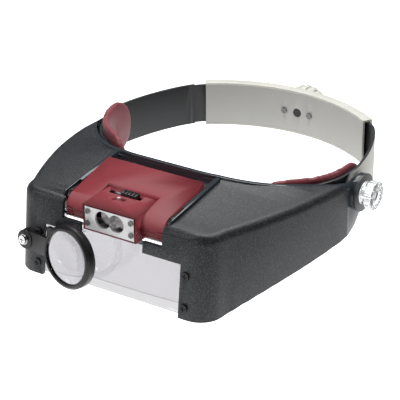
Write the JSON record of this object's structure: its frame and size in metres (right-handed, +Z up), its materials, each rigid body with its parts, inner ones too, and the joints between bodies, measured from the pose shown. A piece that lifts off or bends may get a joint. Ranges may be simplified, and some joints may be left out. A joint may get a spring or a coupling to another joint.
{
  "type": "lighted headband magnifier",
  "caption": "Headband magnifier with a tilting visor, a main lens, a flip-down lens, a swing-in loupe, a battery lamp and a rear size knob.",
  "frame": {"origin": "middle of the head loop, half-way up the band, where the wearer's head is", "axes": "+Z up as worn with the band level, +Y back towards the rear size knob, -Y the way the wearer looks, +X the right of someone who faces the visor"},
  "size_m": [0.1769, 0.221, 0.0549],
  "materials": {
    "visor_plastic": "spark-textured black ABS, smooth on the rim",
    "black_plastic": "smooth black",
    "clear_acrylic": "polished clear acrylic",
    "burgundy_plastic": "smooth satin burgundy",
    "pad_foam": "soft burgundy foam with a smooth skin",
    "chrome": "vacuum-plated bright",
    "steel": "zinc-plated",
    "black_steel": "blackened",
    "strap_plastic": "satin black-grey",
    "grey_plastic": "fine matte warm grey",
    "cell_wrap": "plain wrapped steel can",
    "brass": "plain stamped"
  },
  "bodies": {
    "headband": {"forehead_band": "strap_plastic", "left_rack_strap": "strap_plastic", "right_rack_strap": "strap_plastic", "left_pad": "pad_foam", "right_pad": "pad_foam", "pivot_pins": "steel", "pivot_washer": "grey_plastic"},
    "visor": {"visor_housing": "visor_plastic", "main_lens": "clear_acrylic", "lens_screws": "black_steel", "lens_nuts": "steel", "flip_hinge_rod": "steel", "loupe_pivot_screw": "chrome", "loupe_washer": "steel", "loupe_nut": "steel", "left_lamp_clip": "black_plastic", "right_lamp_clip": "black_plastic", "lamp_clip_screws": "steel"},
    "side_knob": {"side_knob": "clear_acrylic"},
    "loupe": {"loupe_frame": "black_plastic", "loupe_lens": "clear_acrylic", "loupe_retaining_ring": "black_plastic"},
    "flip": {"flip_lens": "clear_acrylic"},
    "lamp": {"lamp_lid": "burgundy_plastic", "lamp_tray": "burgundy_plastic", "door_hinge_pin": "steel", "battery_cells": "cell_wrap", "battery_contacts": "brass", "battery_springs": "steel", "lamp_bezel": "chrome", "bezel_screws": "steel", "switch_body": "strap_plastic"},
    "door": {"battery_door": "burgundy_plastic"},
    "aim": {"reflector_unit": "chrome", "lamp_bulbs": "clear_acrylic", "aiming_pin": "chrome"},
    "switch": {"switch_slider": "black_plastic"},
    "rear_adjuster": {"sleeve_inner": "grey_plastic", "sleeve_outer": "grey_plastic", "sleeve_screws": "steel"},
    "rear_knob": {"size_knob": "grey_plastic", "size_pinion": "strap_plastic"}
  },
  "joints": [
    {"name": "visor_tilt", "type": "hinge", "parent": "headband", "child": "visor", "pos_m": [0, -0.0101, -0.0001], "axis": [-1, 0, 0], "range_deg": [-4, 60]},
    {"name": "side_knob_turn", "type": "hinge", "parent": "headband", "child": "side_knob", "pos_m": [0, -0.0101, -0.0001], "axis": [1, 0, 0], "range_deg": [0, 270]},
    {"name": "loupe_swing", "type": "hinge", "parent": "visor", "child": "loupe", "pos_m": [-0.0525, -0.12629, -0.0152], "axis": [-0.1564, -0.9817, 0.1084], "range_deg": [0, 95]},
    {"name": "flip_fold", "type": "hinge", "parent": "visor", "child": "flip", "pos_m": [0, -0.11206, -0.00244], "axis": [-1, 0, 0], "range_deg": [-80, 0]},
    {"name": "lamp_tilt", "type": "hinge", "parent": "visor", "child": "lamp", "pos_m": [0, -0.1139, 0.0068], "axis": [1, 0, 0], "range_deg": [-14, 3]},
    {"name": "door_hinge", "type": "hinge", "parent": "lamp", "child": "door", "pos_m": [0, -0.08177, 0.00604], "axis": [1, 0, 0], "range_deg": [0, 70]},
    {"name": "lamp_aim", "type": "hinge", "parent": "lamp", "child": "aim", "pos_m": [-0.001, -0.1191, 0.0076], "axis": [0, 0, 1], "range_deg": [-21, 21]},
    {"name": "switch_slide", "type": "slide", "parent": "lamp", "child": "switch", "axis": [1, 0, 0], "range_m": [-0.0088, 0.0026]},
    {"name": "size_slide", "type": "slide", "parent": "headband", "child": "rear_adjuster", "axis": [0, 1, 0], "range_m": [-0.008, 0.024], "deforming": ["left_rack_strap", "right_rack_strap"]},
    {"name": "size_knob_turn", "type": "hinge", "parent": "rear_adjuster", "child": "rear_knob", "pos_m": [0, 0, 0], "axis": [0, 1, 0], "range_deg": [-306, 102]}
  ],
  "couplings": [
    {"joint": "size_knob_turn", "follows": "size_slide", "rad_per_m": -222.22}
  ]
}
